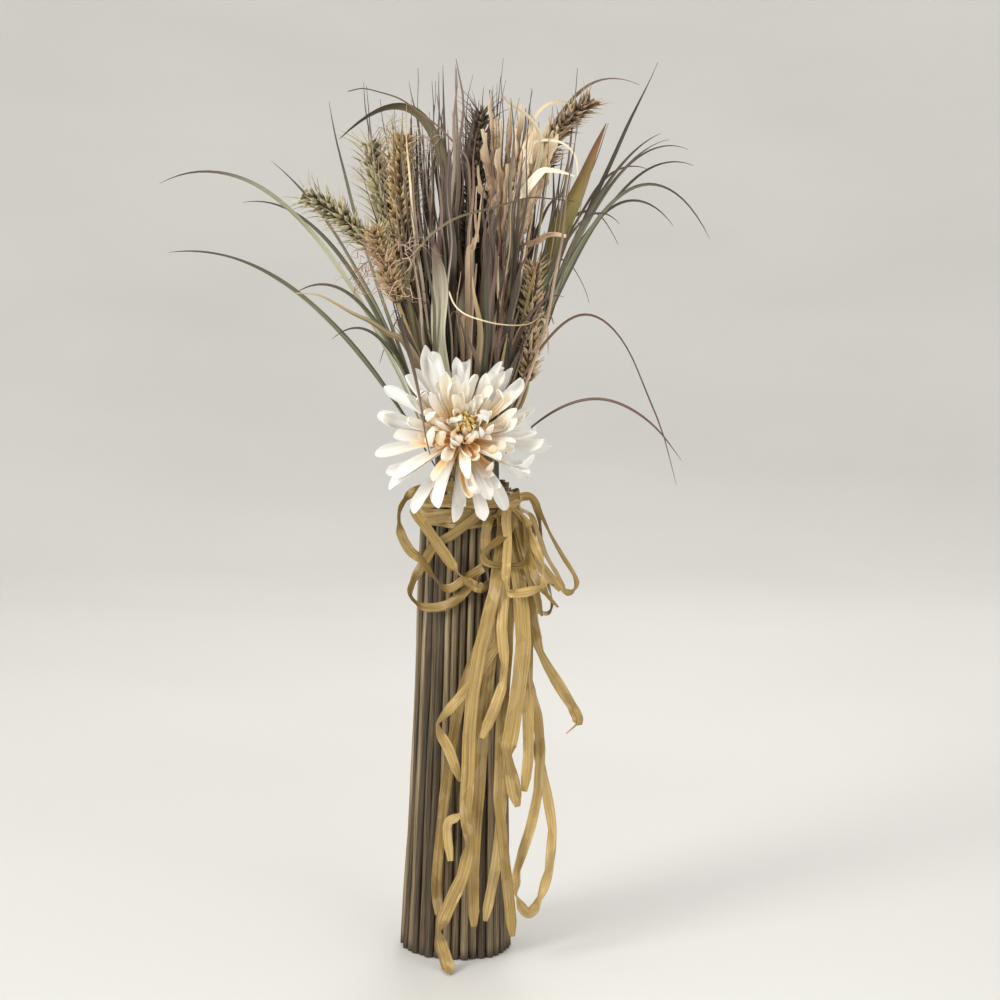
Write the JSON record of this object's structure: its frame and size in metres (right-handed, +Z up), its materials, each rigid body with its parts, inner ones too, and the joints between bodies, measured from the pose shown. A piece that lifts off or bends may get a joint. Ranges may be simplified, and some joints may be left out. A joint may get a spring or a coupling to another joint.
{
  "type": "bundle of dried wheat",
  "caption": "Free-standing sheaf of dried stalks with wheat ears, grass blades and papery husks spreading from the top, tied with a raffia bow under one cream bloom.",
  "frame": {"origin": "middle of the cut ends that the sheaf stands on, in their plane", "axes": "+Z up along the sheaf, -Y towards the front with the bloom and the bow"},
  "size_m": [0.3587, 0.183, 0.5862],
  "materials": {
    "stalk": "matte dry reed",
    "straw": "matte dry straw",
    "green_straw": "matte dry straw, still greenish",
    "dark_straw": "matte dark dry straw",
    "grass": "satin dry grass",
    "red_grass": "satin dry grass",
    "leaf": "satin dry leaf",
    "husk": "papery",
    "petal": "papery, softly satin",
    "heart": "papery",
    "calyx": "matte",
    "raffia": "satin, fibrous"
  },
  "bodies": {
    "root": {"bloom_calyx": "calyx", "bloom_heart": "heart", "bloom_petals": "petal", "grass_back": "grass", "grass_back_left": "red_grass", "grass_front": "red_grass", "grass_left": "grass", "grass_left_upright": "grass", "grass_right": "grass", "grass_right_back": "red_grass", "husk_bunch": "husk", "leaf_left": "leaf", "leaf_right": "leaf", "raffia_band": "raffia", "raffia_knot": "raffia", "raffia_loop_front": "raffia", "raffia_loop_front_low": "raffia", "raffia_loop_left_high": "raffia", "raffia_loop_left_low": "raffia", "raffia_loop_left_mid": "raffia", "raffia_loop_right": "raffia", "raffia_loop_right_low": "raffia", "raffia_tail_01": "raffia", "raffia_tail_02": "raffia", "raffia_tail_03": "raffia", "raffia_tail_04": "raffia", "raffia_tail_05": "raffia", "raffia_tail_06": "raffia", "raffia_tail_07": "raffia", "raffia_tail_08": "raffia", "raffia_tail_09": "raffia", "raffia_tail_10": "raffia", "raffia_tail_11": "raffia", "raffia_tail_12": "raffia", "raffia_tail_13": "raffia", "raffia_tail_14": "raffia", "raffia_tail_15": "raffia", "stalk_clump_01": "stalk", "stalk_clump_02": "stalk", "stalk_clump_03": "stalk", "stalk_clump_04": "stalk", "stalk_clump_05": "stalk", "stalk_clump_06": "stalk", "stalk_clump_07": "stalk", "stalk_clump_08": "stalk", "stalk_clump_09": "stalk", "stalk_clump_10": "stalk", "stalk_clump_11": "stalk", "stalk_clump_12": "stalk", "wheat_ear_back": "dark_straw", "wheat_ear_bristly": "green_straw", "wheat_ear_dark": "dark_straw", "wheat_ear_golden": "straw", "wheat_ear_left": "green_straw", "wheat_ear_low": "dark_straw", "wheat_ear_pink": "straw", "wheat_ear_right": "dark_straw"}
  },
  "joints": []
}
